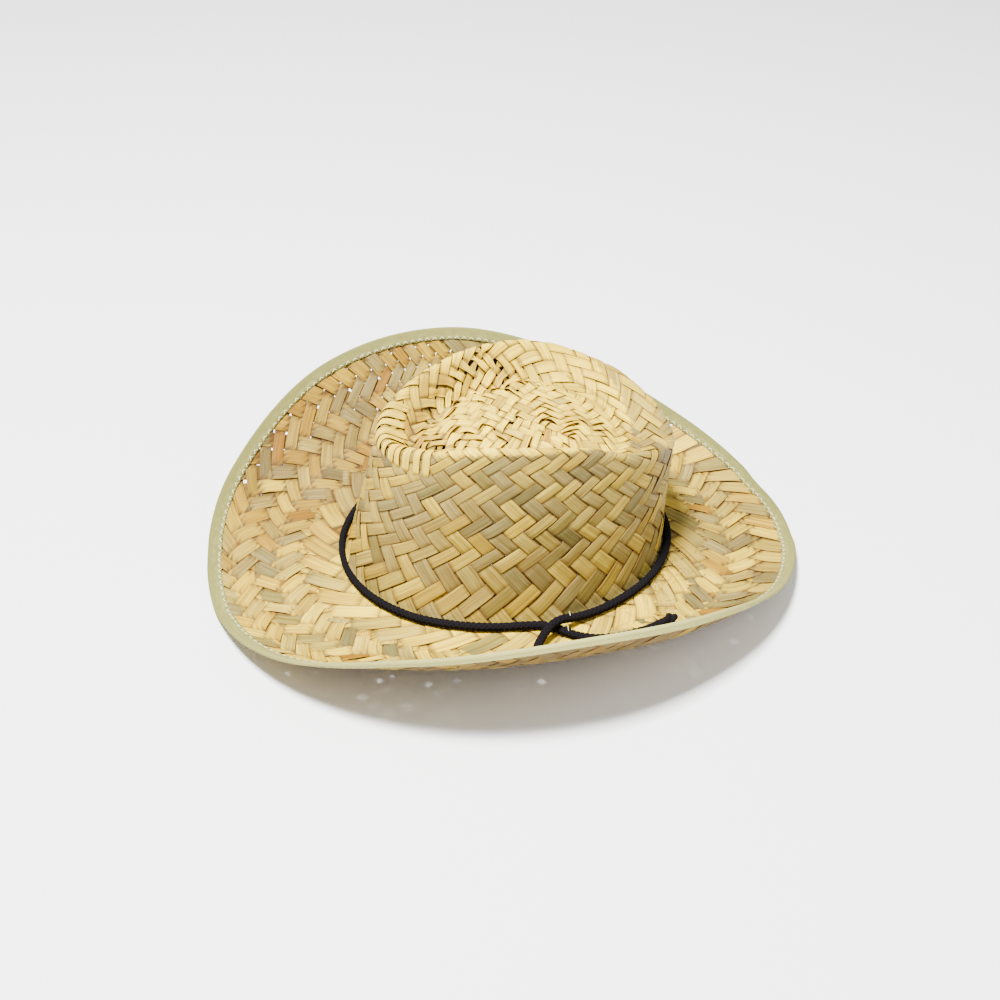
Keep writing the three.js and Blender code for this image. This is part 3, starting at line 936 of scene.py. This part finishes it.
def binding():
    """The tape, with painted light that makes it brighter on the near side of the hat and a little on the far
    side.
    """
    outline = binding_outline()
    azimuth = np.arange(AZIMUTHS) * 360 / AZIMUTHS
    points = edge_place(azimuth[:, None], outline[:, 0], outline[:, 1])
    made = bmesh.new()
    rings = [[made.verts.new(p) for p in ring] for ring in points]
    for here, after in zip(rings, rings[1:] + rings[:1]):
        for j in range(len(outline)):
            k = (j + 1) % len(outline)
            made.faces.new((here[j], after[j], after[k], here[k]))
    piece = finished(made, "bound_tape", TAPE, "tape", "brim_binding")
    width = np.cumsum(np.linalg.norm(np.diff(outline, axis=0, prepend=outline[:1]), axis=1))
    across, along = np.meshgrid(width, run_along(points[:, len(outline) // 2]))
    # Painted light, strongest on the near side
    painted_light = 0.62 * hump(azimuth, 270, 55) + 0.12 * hump(azimuth, 80, 40)
    painted_light = np.repeat(painted_light[:, None], len(width), axis=1)
    set_attribute(piece.data, "tape_run", np.stack([along, across, painted_light], -1))


def stitching():
    """Zigzag thread that holds the tape, on its upper and its lower side."""
    made = bmesh.new()
    azimuth = np.arange(STITCHES) * 360 / STITCHES
    turned = np.arange(STITCHES) % 2
    for height in STITCH_HEIGHTS:
        line = edge_place(azimuth, TAPE_DEPTH - 0.0019 + 0.0022 * turned, height * (1 - 0.4 * turned))
        for first, second in zip(line, np.roll(line, -1, axis=0)):
            tube(made, np.array([first, (first + second) / 2, second]), STITCH_RADIUS, 5)
    finished(made, "tape_stitching", THREAD, "tape")


binding()
stitching()

# The cord

BRAID_LENGTH = 0.0125
BRAID_REACH = 0.00155
BRAID_DIP = 0.00022
STRAND_RADIUS = 0.00098
HAIR_COUNT = 900
HAIR_START = 0.0021
HAIR_REACH = 0.0012
HAIR_RADII = [5e-5, 4e-5, 1e-5]
KNOT_SIZE = 0.0012
KNOT_LONG = 1.84
KNOT_WIDE = 0.62
KNOT_RADIUS = 0.0015
KNOT_CORE_HALF = 0.0052
KNOT_CORE_RADII = [0.0018, 0.0022, 0.0023, 0.0023, 0.0023, 0.0022, 0.002, 0.0016]


def over_brim(azimuth, out, up):
    """A point over the brim, at millimetres out from the foot of the crown and up square to the brim."""
    root, inner, outer, edge = section_corners(np.array([azimuth]))[5:]
    curves = bend(root, inner, outer, math.inf, BEND_STEPS), bend(inner, outer, edge, math.inf, BEND_STEPS)
    line = np.concatenate([root, *(curve[0] for curve in curves), edge])
    radius = root[0, 0] + out / 1000
    index = int(np.searchsorted(line[:, 0], radius))
    low, high = line[index - 1], line[index]
    along = unit(high - low)
    at = low + (high - low) * (radius - low[0]) / (high[0] - low[0])
    at = at + np.array([-along[1], along[0]]) * up / 1000
    return around(azimuth, at[0], at[1])


def smooth_route(points, steps):
    """Evenly spaced points of a smooth line through the given ones, ends included."""
    points = np.asarray(points)
    ends = np.concatenate([2 * points[:1] - points[1:2], points, 2 * points[-1:] - points[-2:-1]])
    line = []
    for i in range(1, len(ends) - 2):
        a, b, c, d = ends[i - 1 : i + 3]
        k0, k1, k2 = (max(np.linalg.norm(q - p), 1e-9) ** 0.5 for p, q in ((a, b), (b, c), (c, d)))
        m1 = c - b + k1 * ((b - a) / k0 - (c - a) / (k0 + k1))
        m2 = c - b + k1 * ((d - c) / k2 - (d - b) / (k1 + k2))
        t = np.linspace(0, 1, 16, endpoint=False)[:, None]
        line.extend(b + (c - b) * eased(t) + t * (1 - t) ** 2 * m1 - t**2 * (1 - t) * m2)
    line.append(ends[-2])
    line = np.array(line)
    run = run_along(line)
    even = np.linspace(0, run[-1], steps + 1)
    return np.stack([np.interp(even, run, line[:, k]) for k in range(3)], -1), run[-1]


def knot(name, place, away, node):
    """An overhand knot drawn tight, in line with the cord's end."""
    away = unit(away)
    side = unit(np.cross(away, (0, 0, 1)))
    up = np.cross(side, away)
    t = np.linspace(0, 2 * np.pi, 61)
    reach = KNOT_WIDE * (2 + np.cos(3 * t))
    curl = KNOT_SIZE * np.stack([KNOT_LONG * np.sin(3 * t), reach * np.cos(2 * t), reach * np.sin(2 * t)], -1)
    centre = place + away * (KNOT_LENGTH / 2 + KNOT_CLEARANCE)
    made = bmesh.new()
    tube(made, centre + curl @ np.array([away, side, up]), KNOT_RADIUS, 10)
    core = np.linspace(-KNOT_CORE_HALF, KNOT_CORE_HALF, len(KNOT_CORE_RADII))[:, None]
    tube(made, centre + away * core, KNOT_CORE_RADII, 12)
    return finished(made, name, CORD, "cord", node)


def braided(made, centre, length):
    """Eight strands plaited round the cord's middle line, four turning each way, and thinner behind."""
    _, side, up = frames_along(centre)
    turn = np.linspace(0, length, len(centre)) / BRAID_LENGTH * 2 * np.pi
    azimuth = np.degrees(np.arctan2(centre[:, 0], -centre[:, 1])) % 360
    drawn = 1 - 0.2 * hump(azimuth, 172, 30)
    for strand in range(8):
        lean = 1 if strand % 2 == 0 else -1
        angle = (lean * turn + strand // 2 * np.pi / 2)[:, None]
        crossing = np.sin(4 * turn + lean * np.pi / 4)
        reach = ((BRAID_REACH + BRAID_DIP * lean * crossing) * drawn)[:, None]
        tube(made, centre + reach * (np.cos(angle) * side + np.sin(angle) * up), STRAND_RADIUS * drawn, 6)


def fuzz(made, line):
    """Short fine hairs that stand out of a cord."""
    local = np.random.default_rng(5)
    along, side, up = frames_along(line)
    for _ in range(HAIR_COUNT):
        i = local.integers(2, len(line) - 2)
        angle = local.uniform(0, 2 * np.pi)
        out = math.cos(angle) * side[i] + math.sin(angle) * up[i]
        lean = along[i] * local.uniform(-1.2, 1.2) + np.cross(along[i], out) * local.uniform(-0.6, 0.6)
        start = line[i] + out * HAIR_START
        tip = start + (out + lean) * local.uniform(0.3, 1) * HAIR_REACH
        tube(made, np.array([start, (start + tip) / 2 + lean * 0.0001, tip]), HAIR_RADII, 3)


def cord():
    """The cord and its knots, which move with it."""
    centre, length = smooth_route([over_brim(*point) for point in CORD_ROUTE], 960)
    made = bmesh.new()
    braided(made, centre, length)
    fuzz(made, centre)
    whole = finished(made, "braided_cord", CORD, "cord", "hat_cord")
    knots = [
        knot("hidden_cord_knot", centre[0], centre[0] - centre[2], "hidden_end_knot"),
        knot("front_cord_knot", centre[-1], centre[-1] - centre[-3], "front_end_knot"),
    ]


cord()

# Loose fibres that stand out of the straw at the foot of the crown, and thread caught in the cord

FIBRE_COUNT = 110
FIBRE_RADII = np.linspace(0.00016, 0.00004, 6)
FIBRE_SIDES = 4
THREAD_ENDS = ((279.0, 8.6, 9.4), (636.0, 17.6, 6.9))
THREAD_BENDS = ((0, 2.2, -1.4), (0.3, 0, 0.2), (0.6, -2.2, 0.4))
THREAD_RADIUS = 0.0002


def loose_fibres():
    """Fibres that lie outwards over the brim, each with its own curve and colour."""
    local = np.random.default_rng(9)
    made = bmesh.new()
    runs, looks = [], []
    places = np.linspace(0, 1, len(FIBRE_RADII))[:, None]
    count = len(FIBRE_RADII) * FIBRE_SIDES
    for _ in range(FIBRE_COUNT):
        azimuth = local.normal(322, 11)
        share = 1 + abs(local.normal(0.02, 0.09))
        at, up = (v[0] for v in on_surface(np.array([azimuth / 360]), np.array([share])))
        further, _ = on_surface(np.array([(azimuth + local.normal(0, 3)) / 360]), np.array([share + 0.03]))
        out = unit(further[0] - at)
        length = local.uniform(0.004, 0.011)
        rise = local.uniform(0.1, 0.5)
        line = at + up * 0.0009 + length * (out * places + up * rise * places * (1 - 0.6 * places))
        line = line + np.cross(out, up) * length * 0.25 * local.uniform(-1, 1) * places**2
        tube(made, line, FIBRE_RADII, FIBRE_SIDES)
        run = np.repeat(places[:, 0] * length, FIBRE_SIDES)
        runs.append(np.column_stack([run, np.zeros(count), np.full(count, local.uniform())]))
        look = [local.uniform(0.3, 0.9), local.uniform(0, 0.6), local.uniform(0, 0.6)]
        looks.append(np.tile(look, (count, 1)))
    piece = finished(made, "loose_fibres", STRAW, "straw")
    set_attribute(piece.data, "straw_run", np.concatenate(runs))
    set_attribute(piece.data, "straw_look", np.concatenate(looks))


def thread_ends():
    """Two short ends of pale thread caught in the cord."""
    made = bmesh.new()
    for azimuth, out, up in THREAD_ENDS:
        line = [over_brim(azimuth + turn, out + away, up + rise) for turn, away, rise in THREAD_BENDS]
        tube(made, np.array(line), THREAD_RADIUS, 5)
    finished(made, "thread_ends", THREAD, "tape")


loose_fibres()
thread_ends()

# Floor and light, with each light's place, size in metres and power in watts

FLOOR_HALF = 6
WORLD_STRENGTH = 0.6
LIGHTS = (("key light", (-0.22, 0.5, 1.95), 0.4, 203), ("fill light", (-0.8, -1.4, 1.0), 1.2, 15))
LIT_POINT = Vector((0, 0, 0.05))


def studio():
    """A pale floor under an even white sky, and the lights, turned to the hat."""
    made = bmesh.new()
    bmesh.ops.create_grid(made, x_segments=1, y_segments=1, size=FLOOR_HALF)
    mesh = bpy.data.meshes.new("floor")
    made.to_mesh(mesh)
    made.free()
    floor = bpy.data.objects.new("floor", mesh)
    bpy.context.scene.collection.objects.link(floor)
    mesh.materials.append(plain_material("floor", (0.93, 0.93, 0.93), 0.9))
    world = bpy.data.worlds.new("studio")
    world.use_nodes = True
    background = world.node_tree.nodes["Background"]
    background.inputs["Color"].default_value = (1, 1, 1, 1)
    background.inputs["Strength"].default_value = WORLD_STRENGTH
    bpy.context.scene.world = world
    for name, place, size, power in LIGHTS:
        data = bpy.data.lights.new(name, "AREA")
        data.size = size
        data.energy = power
        light = bpy.data.objects.new(name, data)
        bpy.context.scene.collection.objects.link(light)
        light.location = place
        light.rotation_mode = "QUATERNION"
        light.rotation_quaternion = (LIT_POINT - Vector(place)).to_track_quat("-Z", "Y")


studio()
